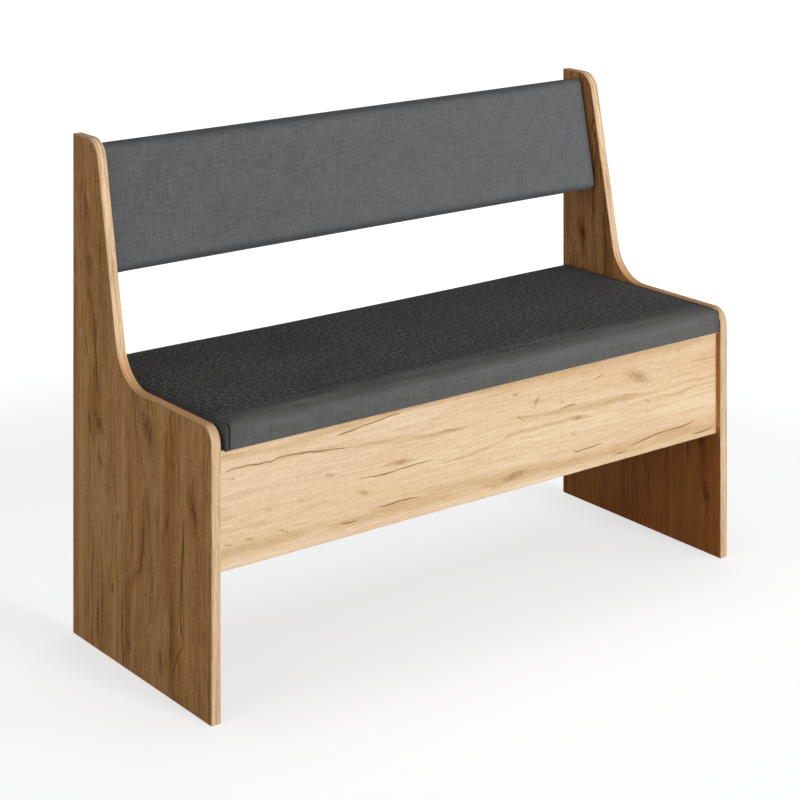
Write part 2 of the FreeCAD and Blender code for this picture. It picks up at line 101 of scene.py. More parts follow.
def calc(operation, *values, clamp=False):
    return put("Math", dict(enumerate(values)), operation=operation, use_clamp=clamp)


def most(first, second):
    return calc("MAXIMUM", first, second)


def blend(share, first, second, mode="MIX"):
    return put("Mix", {0: share, 6: first, 7: second}, 2, data_type="RGBA", blend_type=mode)


def tinted(share, colour, tint):
    return blend(share, colour, tint, "MULTIPLY")


def spread(value, low, high, new_low=0.0, new_high=1.0, kind="SMOOTHSTEP"):
    feeds = {"Value": value, "From Min": low, "From Max": high, "To Min": new_low, "To Max": new_high}
    return put("MapRange", feeds, interpolation_type=kind)


def noise_at(vector, scale, detail=2.0, roughness=0.5):
    feeds = {"Vector": vector, "Scale": scale, "Detail": detail, "Roughness": roughness}
    return put("TexNoise", feeds, "Fac")


def grain(along, across, through, along_rate, across_rate, detail=2.0, roughness=0.5, through_rate=1.0):
    """Noise with so many features a metre along the grain, across it and through the board."""
    feeds = {0: along * along_rate, 1: across * across_rate, 2: through * through_rate}
    return noise_at(put("CombineXYZ", feeds), 1, detail, roughness)


def object_axes(material):
    """The place on the piece, in metres, as one vector and split into x, y and z."""
    coords = put("TexCoord", {}, "Object", tree=material.node_tree)
    return coords, put("SeparateXYZ", {0: coords}, X, Y, Z)


def new_group(name, inputs, outputs):
    """A shader node group, with the values inside it that carry its inputs. An input's plain value is
    a number, a vector of three parts or a colour of four."""
    group = bpy.data.node_groups.new(name, "ShaderNodeTree")
    for socket, value in inputs.items():
        kind = {3: "Vector", 4: "Color"}[len(value)] if isinstance(value, tuple) else "Float"
        made = group.interface.new_socket(name=socket, in_out="INPUT", socket_type="NodeSocket" + kind)
        made.default_value = value
    for socket, kind in outputs.items():
        group.interface.new_socket(name=socket, in_out="OUTPUT", socket_type="NodeSocket" + kind)
    start = group.nodes.new("NodeGroupInput")
    return group, {socket.name: Value(group, socket) for socket in start.outputs}


def send(group, **values):
    """The values that the group's outputs carry."""
    end = group.nodes.new("NodeGroupOutput")
    for name, value in values.items():
        group.links.new(value.socket, end.inputs[name])


def use_group(group, feeds, *outputs):
    return put("Group", feeds, *outputs, node_tree=group)


def new_material(name, **shader_values):
    """A material whose Principled shader has these plain values, and the shader."""
    material = bpy.data.materials.new(name)
    material.use_nodes = True
    shader = material.node_tree.nodes["Principled BSDF"]
    for socket, value in shader_values.items():
        shader.inputs[socket.replace("_", " ")].default_value = value
    return material, shader


def surface(shader, colour, uneven, swing, smoothest, height, depth, strength):
    """The shader's colour, its roughness, which swings with an uneven value, and its bump."""
    bump = put("Bump", {"Height": height, "Distance": depth, "Strength": strength})
    roughness = uneven * swing + smoothest
    for name, value in (("Base Color", colour), ("Roughness", roughness), ("Normal", bump)):
        colour.tree.links.new(value.socket, shader.inputs[name])


def give(node, material):
    node.data.materials.clear()
    node.data.materials.append(material)


# The printed oak: staves side by side, each with wavy growth lines, short fibres and its own tone
BLUSH = (0.99, 0.955, 0.97, 1)
STAVE_LENGTH = 2.4
oak_print, into = new_group(
    "oak_print",
    {"Along": 0, "Across": 0, "Offset": 0, "Joint Along": 0, "Joint Across": 0, "Stave Width": 0.147,
     "Parting": 0, "Contrast": 1, "Grit": 0.6, "Light": WHITE, "Middle": WHITE, "Dark": WHITE},
    {"Colour": "Color", "Fibre": "Float"})
along = into["Along"]
level = into["Across"]
stave_place = put("CombineXYZ", {0: along - into["Joint Along"], 1: level - into["Joint Across"]})
staves = put("TexBrick", {
    "Vector": stave_place, "Color1": BLACK, "Color2": WHITE, "Scale": 1.0, "Mortar Size": 0.0,
    "Bias": 0.0, "Brick Width": STAVE_LENGTH, "Row Height": into["Stave Width"]}, "Color", offset=0.37)
stave_tone = put("SeparateColor", {0: staves})
# Each stave is cut from the noise at a depth of its own
cut = stave_tone * 7.3 + into["Offset"]
deeper = cut + 3.0
wander = grain(along, level, cut, 2.4, 8)
across = level + (wander - 0.5) * 0.026 - into["Parting"]
# Layers of noise: features a metre along and across the grain, roughness, and part in the tone
LAYERS = {"lines": (5, 250, 0.6, 0.55), "clouds": (1.7, 11, 0.5, 0.55),
          "patches": (4.5, 48, 0.5, 0.42), "fibres": (26, 620, 0.6, 0.95)}
layers = {}
tone = (stave_tone - 0.5) * 0.12
for name, (along_rate, across_rate, roughness, part) in LAYERS.items():
    layers[name] = grain(along, across, cut, along_rate, across_rate, 2, roughness)
    tone = tone + (layers[name] - 0.5) * part
# Dark strokes, broad and fine: features a metre, detail, where in their noise they begin, and part
for depth, along_rate, across_rate, detail, least, part in (
        (deeper, 2.0, 75, 2, 0.55, 0.22), (cut, 90, 520, 1, 0.62, 0.16)):
    strokes = grain(along, across, depth, along_rate, across_rate, detail)
    tone = tone + spread(strokes, least, 0.8) * part
saw_marks = grain(along, level, deeper, 420, 22, 1)
grit = grain(along, level, deeper, 260, 330, 2, 0.6)
speckle = (saw_marks - 0.5) * 0.33 + grit - 0.5
tone = tone * into["Contrast"] + 0.42 + speckle * into["Grit"]
colour = blend(spread(tone, 0.1, 0.55), into["Light"], into["Middle"])
colour = blend(spread(tone, 0.45, 1.0), colour, into["Dark"])
blushes = grain(along, across, deeper, 1.8, 16)
colour = tinted(spread(blushes, 0.45, 0.62), colour, BLUSH)
send(oak_print, Colour=colour, Fibre=layers["lines"] * 0.4 + layers["fibres"])

# A printed crack: darkest along its middle line and gone at its half width, in a wider soft stain
board_mark, into = new_group(
    "board_mark", {"Across": 0, "Middle": 0, "Half Width": 0}, {"Mask": "Float", "Stain": "Float"})
share = abs(into["Across"] - into["Middle"]) / most(into["Half Width"], 0.1 * MM)
there = spread(into["Half Width"], 0.15 * MM, 0.5 * MM)
send(board_mark, Mask=there * spread(share, 1.0, 0.3), Stain=there * spread(share, 3.2, 0.2))

# A printed knot: rings round a dark heart, and the growth lines part to pass it
RING_RATE = 15
board_knot, into = new_group(
    "board_knot",
    {"Along": 0, "Across": 0, "Centre Along": 0, "Centre Across": 0, "Half Length": 0.02,
     "Half Width": 0.01, "Slant": 0, "Wobble": 0},
    {"Mask": "Float", "Parting": "Float"})
beside = into["Along"] - into["Centre Along"]
above = into["Across"] - into["Centre Across"] - beside * into["Slant"]
squared = (beside / into["Half Length"]) ** 2 + (above / into["Half Width"]) ** 2
reach = calc("SQRT", squared) + into["Wobble"]
rings = calc("SINE", reach * RING_RATE) * 0.28 + 0.62
heart = spread(reach, 0.5, 0.1)
fall = calc("EXPONENT", squared * -0.5)
send(board_knot, Mask=most(rings * spread(reach, 1.1, 0.3), heart), Parting=above * fall * 0.75)

# Raw chipboard: pressed flakes of light and dark wood, as sawn edges and plain lid boards show
DARK_FLAKE = (0.33, 0.20, 0.10, 1)
PALE_FLAKE = (0.60, 0.43, 0.25, 1)
WOOD_DUST = (0.70, 0.55, 0.36, 1)
FLAKES_A_METRE = (240, 420, 300)
raw_chipboard, into = new_group(
    "raw_chipboard", {"Vector": (0, 0, 0)}, {"Colour": "Color", "Flake": "Float"})
place = put("Mapping", {"Vector": into["Vector"], "Scale": FLAKES_A_METRE})
flake_tone = put("SeparateColor", {0: put("TexVoronoi", {"Vector": place, "Scale": 1.0}, "Color")})
dust = noise_at(into["Vector"], 900, 3, 0.7)
colour = blend(flake_tone, DARK_FLAKE, PALE_FLAKE)
send(raw_chipboard, Colour=blend(dust * 0.5, colour, WOOD_DUST), Flake=flake_tone + dust)

# Each stain darkens the board's own colour by this much
CRACK_STAIN = (0.25, 0.15, 0.10, 1)
EDGE_STAIN = (0.80, 0.68, 0.52, 1)
KNOT_STAIN = (0.46, 0.33, 0.19, 1)
SHADE_STAIN = (0.79, 0.69, 0.55, 1)
# The heights between which the faces under the chest take their painted shade
CHEST_FOOT = (0.262, 0.25)
SAWN_FOOT = 0.05 * MM


def curve_along(along, points):
    """A value that follows these (place, value) points, both from 0 to 1."""
    followed = put("FloatCurve", {"Value": along})
    mapping = followed.socket.node.mapping
    curve = mapping.curves[0]
    curve.points[0].location = points[0]
    curve.points[1].location = points[-1]
    for place, value in points[1:-1]:
        curve.points.new(place, value)
    for point in curve.points:
        point.handle_type = "VECTOR"
    mapping.update()
    return followed


def marks_on(along, across, span, lanes):
    """The marks in these lanes, and their stains. A lane holds marks that don't overlap along the
    grain, each a run of (along, across, half width) points in millimetres. span is the board's
    (lowest along, highest along, lowest across, highest across) in millimetres."""
    start, end, low, high = span
    widest = max(width for lane in lanes for mark in lane for _, _, width in mark)
    place = spread(along, start * MM, end * MM, kind="LINEAR")
    darkest = 0.0
    widest_stain = 0.0
    for lane in lanes:
        middles = []
        widths = []
        for mark in lane:
            for point_along, point_across, width in mark:
                share = (point_along - start) / (end - start)
                middles.append((share, (point_across - low) / (high - low)))
                widths.append((share, width / widest))
        middles = [(0, middles[0][1])] + middles + [(1, middles[-1][1])]
        widths = [(0, 0)] + widths + [(1, 0)]
        middle = spread(curve_along(place, middles), 0, 1, low * MM, high * MM, "LINEAR")
        half_width = curve_along(place, widths) * (widest * MM)
        mask, stain = use_group(
            board_mark, {"Across": across, "Middle": middle, "Half Width": half_width}, "Mask", "Stain")
        darkest = most(darkest, mask)
        widest_stain = most(widest_stain, stain)
    return darkest, widest_stain


def knots_on(along, across, wobble, knots):
    """The knots' marks, and how far they part the growth lines. A knot is its middle's
    (along, across), its half length and half width in millimetres, and its slant."""
    darkest = 0.0
    parting = 0.0
    for place_along, place_across, half_length, half_width, slant in knots:
        mask, aside = use_group(board_knot, {
            "Along": along, "Across": across, "Centre Along": place_along * MM,
            "Centre Across": place_across * MM, "Half Length": half_length * MM,
            "Half Width": half_width * MM, "Slant": slant, "Wobble": wobble}, "Mask", "Parting")
        darkest = most(darkest, mask)
        parting = aside + parting
    return darkest, parting


def other_face(value, low, high, other):
    """A place along or across the board, measured from its other end on the board's other face."""
    return put("Mix", {0: other, 2: value, 3: (low + high) * MM - value})


def oak_board(name, along_axis, across_axis, span, marks, offset, joint, colours, contrast=1.0, grit=0.6,
              flip=None, depth=1.0, knot_depth=0.7, recess_shade=None):
    """Oak-effect board with its (cracks, knots, shades). grit is how much its finest grain shows.
    flip is (axis, place in metres): past that place the print is another part of the pattern, as the
    two faces of a board are. depth is how dark the shades are and how wide the cracks, knot_depth how
    dark the knots are, and recess_shade paints shade on the face past the flip up to the chest's foot."""
    cracks, knots, shades = marks
    cracks = [[[(run, aside, width * depth) for run, aside, width in mark] for mark in lane]
              for lane in cracks]
    material, shader = new_material(name, Specular_IOR_Level=0.18)
    coords, axes = object_axes(material)
    along = axes[along_axis]
    across = axes[across_axis]
    if flip:
        axis, edge = flip
        other = calc("GREATER_THAN" if edge < 0 else "LESS_THAN", axes[axis], edge)
        along = other_face(along, span[0], span[1], other)
        across = other_face(across, span[2], span[3], other)
    wobble = grain(along, across, offset, 45, 25)
    shaky = across + (wobble - 0.5) * (4 * MM)
    ragged = (grain(along, across, offset, 110, 230, 3, 0.65) - 0.5) * 1.1
    knotted, parting = knots_on(along, across, ragged, knots)
    light, middle, dark = colours
    colour, fibre = use_group(oak_print, {
        "Along": along, "Across": across, "Offset": offset, "Joint Along": joint[0],
        "Joint Across": joint[1], "Parting": parting, "Contrast": contrast, "Grit": grit,
        "Light": light, "Middle": middle, "Dark": dark}, "Colour", "Fibre")
    cracked, stained = marks_on(along, shaky, span, cracks)
    shaded = marks_on(along, shaky, span, shades)[1]
    cloudy = grain(along, across, offset, 9, 60)
    shaded = shaded * spread(cloudy, 0.3, 0.6, 0.35 * depth, depth)
    colour = tinted(shaded, colour, SHADE_STAIN)
    colour = tinted(stained * 0.8, colour, EDGE_STAIN)
    colour = tinted(knotted * knot_depth, colour, KNOT_STAIN)
    colour = tinted(cracked * spread(wobble, 0.3, 0.6, 0.65, 1.0), colour, CRACK_STAIN)
    # Painted shade on the face past the flip, under the chest
    if recess_shade:
        colour = tinted(other * spread(axes[Z], *CHEST_FOOT), colour, recess_shade)
    if along_axis == Z:
        sawn = calc("LESS_THAN", axes[Z], SAWN_FOOT)
        colour = blend(sawn, colour, use_group(raw_chipboard, {"Vector": coords}, "Colour"))
    surface(shader, colour, fibre, 0.16, 0.50, fibre * 0.4 - cracked, 0.12 * MM, 0.5)
    return material


SIDE_COLOURS = ((0.78, 0.422, 0.16, 1), (0.60, 0.288, 0.09, 1), (0.27, 0.108, 0.026, 1))
# The painted shade of the faces under the chest
RECESS_SHADE_TINT = (0.79, 0.56, 0.34, 1)
SIDE_SPAN = (0, 900, -234.5, 234.5)
SIDE_MIDDLE = 0.589
SIDE_JOINT = (2.1, 0.05)
# Each mark as (height, depth in the bench, half width)
SIDE_CRACKS = [
    [[(0, 56, 1.4), (40, 58, 1.6), (80, 60, 1.7), (120, 59, 1.3), (160, 54, 0)],
     [(176, 12, 0), (179, 5, 1.6), (186, -3, 1.2), (205, -6, 1.4), (235, -12, 1.6), (285, -13, 0)],
     [(368, 170, 0), (385, 172, 1.6), (400, 176, 1.8), (418, 181, 0)],
     [(443, 137, 0), (462, 147, 1.3), (520, 152, 1.2), (560, 155, 1.5), (592, 162, 1.1), (628, 175, 0)],
     [(685, 138, 0), (705, 139, 1.5), (745, 139, 0)]],
    [[(10, 145, 0), (30, 145, 1.6), (70, 144, 1.5), (98, 144, 0)],
     [(100, -150, 0), (118, -138, 0.9), (150, -131, 1.1), (215, -137, 1.6), (270, -142, 1.4),
      (325, -143, 0)],
     [(505, 180, 0), (530, 186, 1.2), (575, 193, 0)],
     [(640, 227, 0), (665, 228, 1.6), (700, 226, 0)]],
    [[(38, -106, 0), (60, -116, 1.2), (86, -128, 1.2), (116, -152, 0)],
     [(196, 22, 0), (240, 27, 0.7), (300, 28, 0)],
     [(416, 134, 0), (422, 140, 1.1), (428, 146, 0)],
     [(590, 60, 0), (640, 78, 0.9), (700, 92, 0)]]]
# Each knot as (height, depth in the bench, half length, half width, slant)
SIDE_KNOTS = [
    (48, 39, 13, 8, 0.2), (125, 94, 15, 9, 0), (50, -68, 30, 10, 0.05), (126, -135, 10, 6, 0),
    (296, -91, 28, 8, -0.3), (438, -24, 38, 25, 0.3), (336, 136, 16, 8, 0.3), (404, 142, 30, 16, 0.6),
    (620, 172, 20, 8, 0.4), (676, 174, 26, 14, 0), (335, -174, 30, 11, 0.3), (776, 186, 34, 14, 0.3),
    (255, 74, 12, 5, 0)]
SIDE_SHADES = [
    [[(0, -120, 12), (60, -105, 12), (110, -112, 6), (150, -95, 8), (250, -88, 10), (330, -98, 7),
      (430, -98, 9), (482, -98, 0)],
     [(519, 156, 0), (560, 160, 7), (640, 172, 7), (700, 184, 5), (780, 190, 4), (850, 190, 0)]],
    [[(290, -178, 0), (325, -176, 7), (360, -168, 6), (400, -176, 0)]],
    [[(20, 45, 5), (140, 42, 6), (190, -4, 7), (290, -18, 7), (340, -20, 0)],
     [(350, 158, 0), (400, 160, 9), (470, 148, 10), (515, 150, 0)]],
    [[(0, 226, 5), (300, 222, 6), (590, 226, 3), (640, 226, 0)]]]
SIDE_MARKS = (SIDE_CRACKS, SIDE_KNOTS, SIDE_SHADES)
for side, name, offset, middle in (("side_panel_left", "side_oak", 3.7, -SIDE_MIDDLE),
                                   ("side_panel_right", "far_side_oak", 9.2, SIDE_MIDDLE)):
    give(nodes[side], oak_board(
        name, Z, Y, SIDE_SPAN, SIDE_MARKS, offset, SIDE_JOINT, SIDE_COLOURS, contrast=1.6, grit=0.75,
        flip=(X, middle), depth=1.55, knot_depth=1.0, recess_shade=RECESS_SHADE_TINT))

# The edge bands of the sides: strips of a paler oak, 2 mm thick at the front and 1 mm at the back,
# glued along the edges that show. Their outer corners are scraped round, and a fine line stays where
# they meet the board.
BAND_PRINT = {"Light": (0.69, 0.50, 0.31, 1), "Middle": (0.55, 0.37, 0.21, 1),
              "Dark": (0.38, 0.22, 0.11, 1), "Joint Across": -0.9, "Stave Width": 3.0}
# Painted shade for the arms' tops, which face up
ARM_SHADE_TINT = (0.98, 0.80, 0.60, 1)
SLOPE_TINT = (1.24, 1.25, 1.28, 1)
# The painted shade on the arm's top fades at its front rounding and where the slope begins above it
ARM_FRONT = (-225 * MM, -200 * MM)
ARM_TOP = (0.56, 0.50)
SLOPE_FOOT = (0.50, 0.60)
BAND_ROUNDING = 0.9 * MM
JOINT_ROUNDING = 0.25 * MM
WELD_DISTANCE = 0.01 * MM
band_oak, shader = new_material("band_oak", Specular_IOR_Level=0.12)
axes = object_axes(band_oak)[1]
colour, fibre = use_group(oak_print, BAND_PRINT | {
    "Along": axes[Y] * 0.4 + axes[Z], "Across": abs(axes[X]) * -1.6, "Offset": 5.1, "Joint Along": 2.1,
    "Contrast": 2.2, "Grit": 0.1}, "Colour", "Fibre")
# Painted shade on the arms' tops
colour = tinted(spread(axes[Y], *ARM_FRONT) * spread(axes[Z], *ARM_TOP), colour, ARM_SHADE_TINT)
colour = tinted(spread(axes[Z], *SLOPE_FOOT), colour, SLOPE_TINT)
surface(shader, colour, fibre, 0.16, 0.40, fibre, 0.1 * MM, 0.4)


def round_off(shape, edges, radius, segments, clamp=False):
    bmesh.ops.bevel(shape, geom=edges, offset=radius, offset_type="OFFSET", affect="EDGES",
                    segments=segments, profile=0.5, material=-1, clamp_overlap=clamp)


def mesh_of(shape, name):
    """The finished shape as a mesh."""
    mesh = bpy.data.meshes.new(name)
    shape.to_mesh(mesh)
    shape.free()
    return mesh


def smooth_but(mesh, sharp_degrees):
    """The mesh shaded smooth, but for edges that turn by this much or more."""
    mesh.shade_smooth()
    mesh.set_sharp_from_angle(angle=math.radians(sharp_degrees))


def add_object(name, data):
    """An object in the scene that holds this mesh, lamp or camera."""
    made = bpy.data.objects.new(name, data)
    bpy.context.scene.collection.objects.link(made)
    return made


def rounded_band(node_name, outward):
    """The band's own mesh with its long corners rounded: more outside than at the joint."""
    shape = bmesh.new()
    shape.from_mesh(nodes[node_name].data)
    bmesh.ops.remove_doubles(shape, verts=shape.verts, dist=WELD_DISTANCE)
    bmesh.ops.dissolve_limit(shape, angle_limit=math.radians(1), verts=shape.verts, edges=shape.edges)
    for width, sign, segments in ((BAND_ROUNDING, 1, 3), (JOINT_ROUNDING, -1, 1)):
        corners = []
        for edge in shape.edges:
            if len(edge.link_faces) != 2:
                continue
            flat = [face for face in edge.link_faces if abs(face.normal.x) > 0.99]
            rim = [face for face in edge.link_faces if abs(face.normal.x) < 0.01]
            if flat and rim and rim[0].normal.dot(Vector(outward)) * sign > 0.05:
                corners.append(edge)
        round_off(shape, corners, width, segments, clamp=True)
    mesh = mesh_of(shape, node_name + "_rounded")
    smooth_but(mesh, 35)
    mesh.materials.append(band_oak)
    piece = add_object(node_name + "_rounded", mesh)
    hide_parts(node_name)
    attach(piece, "frame")


for side in ("left", "right"):
    rounded_band("front_edge_band_" + side, (0, -1, 1))
    rounded_band("back_edge_band_" + side, (0, 1, 0))

# The chest: front, back and bottom of the same board with level grain, hung between the sides. The
# front shows the print best, with long cracks, a ringed knot and darker staves near its foot.
FRONT_COLOURS = ((0.78, 0.61, 0.415, 1), (0.68, 0.487, 0.295, 1), (0.49, 0.29, 0.145, 1))
FRONT_SPAN = (-580, 580, 243, 443.5)
FRONT_MIDDLE = -0.2085
# Each mark as (place along the bench, height, half width)
FRONT_CRACKS = [
    [[(-572, 406, 0), (-550, 407.5, 1.2), (-520, 408, 1.4), (-490, 406, 1.3), (-465, 405.5, 1.1),
      (-463, 407.8, 1.3), (-430, 407.5, 1.4), (-400, 405.5, 1.6), (-375, 402, 1.6), (-350, 399.5, 1.3),
      (-325, 397, 1.1), (-308, 396, 0)],
     [(-300, 337, 0), (-275, 336, 1), (-250, 334, 1.4), (-235, 334.5, 1.5), (-215, 334, 1.2),
      (-180, 336.5, 1.2), (-150, 336.5, 1), (-112, 336, 0)],
     [(165, 369, 0), (185, 369.5, 1.2), (200, 371, 1.4), (217, 371, 0)],
     [(248, 406, 0), (270, 411, 0.9), (292, 414, 0)],
     [(340, 261, 0), (360, 265, 1.1), (385, 269, 1.4), (420, 273, 1.2), (450, 274, 1), (480, 275, 1.3),
      (505, 276, 1), (530, 284, 0)]],
    [[(-343, 420, 0), (-325, 422, 1.6), (-300, 424.5, 1.3), (-275, 427, 1.4), (-250, 430, 1.2),
      (-225, 432.5, 1), (-178, 434.5, 0)],
     [(-120, 381, 0), (-90, 383, 0.8), (-50, 380, 0)],
     [(200, 288, 0), (209, 281.5, 1.2), (230, 281, 1.2), (260, 284, 1), (292, 284, 0)],
     [(505, 256, 0), (530, 253.5, 1.2), (560, 255, 1), (578, 261, 0)]],
    [[(-334, 268.5, 0), (-318, 267, 1.3), (-300, 266, 0.8), (-286, 265.5, 0)],
     [(-253, 279.5, 0), (-232, 278, 1.3), (-200, 280, 1.2), (-175, 279, 1.2), (-148, 276, 0)],
     [(288, 256, 0), (320, 257, 0.9), (352, 258.5, 0)],
     [(470, 425, 0), (476, 423, 1), (482, 423, 0)]]]
# Each knot as (place along the bench, height, half length, half width, slant)
FRONT_KNOTS = [
    (-480, 326, 11, 3, 0), (-411, 326, 9, 2.5, -0.1), (-279, 311, 16, 5, -0.2), (-200, 347, 15, 7, 0.2),
    (56, 268, 40, 9, 0.08), (114, 394, 14, 7, 0.8), (204, 316, 8, 5, 0), (366, 394, 42, 16, -0.42),
    (-558, 284, 14, 3, -0.25), (-516, 284, 14, 3, -0.3), (-450, 284, 14, 3, -0.4), (-350, 356, 14, 4, -0.1),
    (77, 369, 13, 4, -0.6), (176, 381, 9, 3, 0), (395, 342, 8, 3, -0.2), (64, 415, 9, 4, -0.1),
    (215, 344, 16, 5, 0), (-549, 392, 6, 3, -0.2)]
FRONT_SHADES = [
    [[(-578, 430, 3), (-450, 428, 4), (-350, 432, 3), (-200, 438, 2), (0, 436, 3), (150, 433, 4),
      (300, 433, 5), (450, 433, 4), (578, 431, 3)]],
    [[(-578, 270, 4), (-300, 268, 5), (-150, 272, 6), (0, 270, 7), (150, 268, 7), (350, 263, 7),
      (578, 268, 8)]],
    [[(-340, 398, 0), (-260, 393, 1.5), (-200, 386, 2.6), (-130, 381, 2.2), (-60, 378, 1.2), (0, 374, 0)],
     [(40, 378, 0), (120, 366, 2.5), (240, 362, 4), (330, 359, 4), (430, 352, 0)]],
    [[(-260, 347, 0), (-215, 348, 2.4), (-190, 346, 3), (-160, 343, 0)],
     [(-115, 326, 0), (-60, 327, 1.6), (0, 333, 1.6), (60, 345, 1.6), (140, 346, 2), (220, 345, 2.8),
      (260, 338, 0)],
     [(330, 340, 0), (400, 345, 1.8), (470, 340, 1.3), (520, 346, 1.3), (577, 345, 1)]]]
FRONT_MARKS = (FRONT_CRACKS, FRONT_KNOTS, FRONT_SHADES)
give(nodes["front_panel"], oak_board(
    "front_oak", X, Z, FRONT_SPAN, FRONT_MARKS, 1.3, (-0.464, 0.143), FRONT_COLOURS, contrast=0.9,
    grit=0.55, flip=(Y, FRONT_MIDDLE), depth=0.82, knot_depth=0.62))
BACK_MARKS = (
    [[[(-420, 300, 0), (-360, 304, 1.2), (-300, 305, 0)], [(120, 380, 0), (200, 384, 1.3), (290, 383, 0)]]],
    [(-104, 352, 16, 8, 0.1), (412, 302, 12, 6, 0)],
    [[[(-570, 400, 4), (0, 396, 5), (570, 402, 4)]]])
give(nodes["back_panel"], oak_board(
    "back_oak", X, Z, FRONT_SPAN, BACK_MARKS, 6.4, (0.1, 0.32), FRONT_COLOURS))
BOTTOM_SPAN = (-580, 580, -199.5, 154.5)
BOTTOM_MARKS = (
    [[[(-300, -60, 0), (-240, -56, 1.3), (-160, -54, 0)], [(80, 40, 0), (180, 46, 1.2), (260, 44, 0)]]],
    [(-404, 72, 16, 9, 0), (316, -108, 16, 8, 0.1)],
    [[[(-570, 10, 6), (0, 16, 7), (570, 12, 6)]]])
give(nodes["bottom_panel"], oak_board(
    "bottom_oak", X, Y, BOTTOM_SPAN, BOTTOM_MARKS, 8.1, (0.3, 0.02), FRONT_COLOURS))
strip_oak, shader = new_material("strip_oak", Specular_IOR_Level=0.25)
axes = object_axes(strip_oak)[1]
colour, fibre = use_group(oak_print, BAND_PRINT | {
    "Along": axes[X], "Across": axes[Y] * 1.6, "Offset": 2.2, "Joint Along": 1.5,
    "Contrast": 1.2}, "Colour", "Fibre")
surface(shader, colour, fibre, 0.16, 0.40, fibre, 0.1 * MM, 0.4)
give(nodes["front_panel_bands"], strip_oak)
give(nodes["back_panel_bands"], strip_oak)

# The cam fittings: die-cast zinc cams in bores in the faces that nobody sees, turned with a driver so
# that each draws on a zinc-plated steel bolt in the side. The hinges are of the same plated steel.
DULL_ZINC = ((0.34, 0.34, 0.35, 1), (0.58, 0.58, 0.58, 1))
BRIGHT_ZINC = ((0.46, 0.46, 0.45, 1), (0.74, 0.74, 0.73, 1))
cam_metal, shader = new_material("cam_metal", Metallic=1.0)
coords = object_axes(cam_metal)[0]
pits = noise_at(coords, 1400, 4, 0.7)
stains = noise_at(coords, 120, 3, 0.6)
surface(shader, blend(pits, *DULL_ZINC), stains, 0.3, 0.32, pits, 0.08 * MM, 0.5)
give(nodes["cam_discs"], cam_metal)

plated_steel, shader = new_material("plated_steel", Metallic=1.0)
coords, axes = object_axes(plated_steel)
rolling = grain(*axes, 60, 2600, through_rate=2600)
tone = rolling * 0.4 + noise_at(coords, 260, 3, 0.6) * 0.6
surface(shader, blend(tone, *BRIGHT_ZINC), tone, 0.25, 0.22, rolling, 0.02 * MM, 0.6)
for name in ("cam_bolts", "hinge_frame_leaves", "hinge_lid_leaves", "hinge_pins"):
    give(nodes[name], plated_steel)

# The hinges' screws: three countersunk cross-head screws in each leaf. Their domed heads stand a
# little proud of the leaf, on the back panel's rear face and under the seat board.
SCREW_RADIUS = 3.4 * MM
SCREW_DOME = 0.7 * MM
# A head's section from its sunk cone to its crown, in shares of the radius and of the dome
SCREW_SECTION = ((0.55, -2.2), (1, 0), (0.92, 0.35), (0.7, 0.72), (0.4, 0.93), (0, 1))
CROSS_RECESS = (3.6 * MM, 0.8 * MM, 0.9 * MM)
SCREW_SPACING = 17 * MM
SCREW_REACH = 13 * MM
LEAF_HALF = 25 * MM
LEAF_WIDTH = 22 * MM
LEAF_THICKNESS = 1.5 * MM


def screw_head():
    """One screw head pointing up from the origin, with its cross recess cut out."""
    shape = bmesh.new()
    points = [shape.verts.new((0, 0, SCREW_SECTION[0][1] * SCREW_DOME))]
    points += [shape.verts.new((out * SCREW_RADIUS, 0, rise * SCREW_DOME)) for out, rise in SCREW_SECTION]
    rim = [shape.edges.new(pair) for pair in zip(points, points[1:])]
    bmesh.ops.spin(shape, geom=points + rim, axis=(0, 0, 1), cent=(0, 0, 0), steps=24,
                   angle=2 * math.pi, use_merge=True)
    bmesh.ops.remove_doubles(shape, verts=shape.verts, dist=WELD_DISTANCE)
    bmesh.ops.recalc_face_normals(shape, faces=shape.faces)
    head = add_object("screw_head", mesh_of(shape, "screw_head"))
    cross = bmesh.new()
    for turn in (0, math.pi / 2):
        bar = bmesh.ops.create_cube(cross, size=1)["verts"]
        bmesh.ops.scale(cross, verts=bar, vec=CROSS_RECESS)
        bmesh.ops.rotate(cross, verts=bar, matrix=Matrix.Rotation(turn, 3, "Z"))
    bmesh.ops.translate(cross, verts=cross.verts, vec=(0, 0, SCREW_DOME))
    cutter = add_object("cross_cutter", mesh_of(cross, "cross_cutter"))
    carve = head.modifiers.new("cross", "BOOLEAN")
    carve.object = cutter
    carve.solver = "EXACT"
    carve.use_self = True
    bpy.context.view_layer.update()
    ready = head.evaluated_get(bpy.context.evaluated_depsgraph_get())
    carved = bpy.data.meshes.new_from_object(ready)
    for thing in (head, cutter):
        bpy.data.objects.remove(thing)
    return carved


def copies_of(pattern, places, name, material, body):
    """One object with a copy of the pattern mesh at each place."""
    shape = bmesh.new()
    for place in places:
        before = len(shape.verts)
        shape.from_mesh(pattern)
        shape.verts.ensure_lookup_table()
        bmesh.ops.transform(shape, matrix=place, verts=shape.verts[before:])
    mesh = mesh_of(shape, name)
    smooth_but(mesh, 40)
    mesh.materials.append(material)
    piece = add_object(name, mesh)
    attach(piece, body)


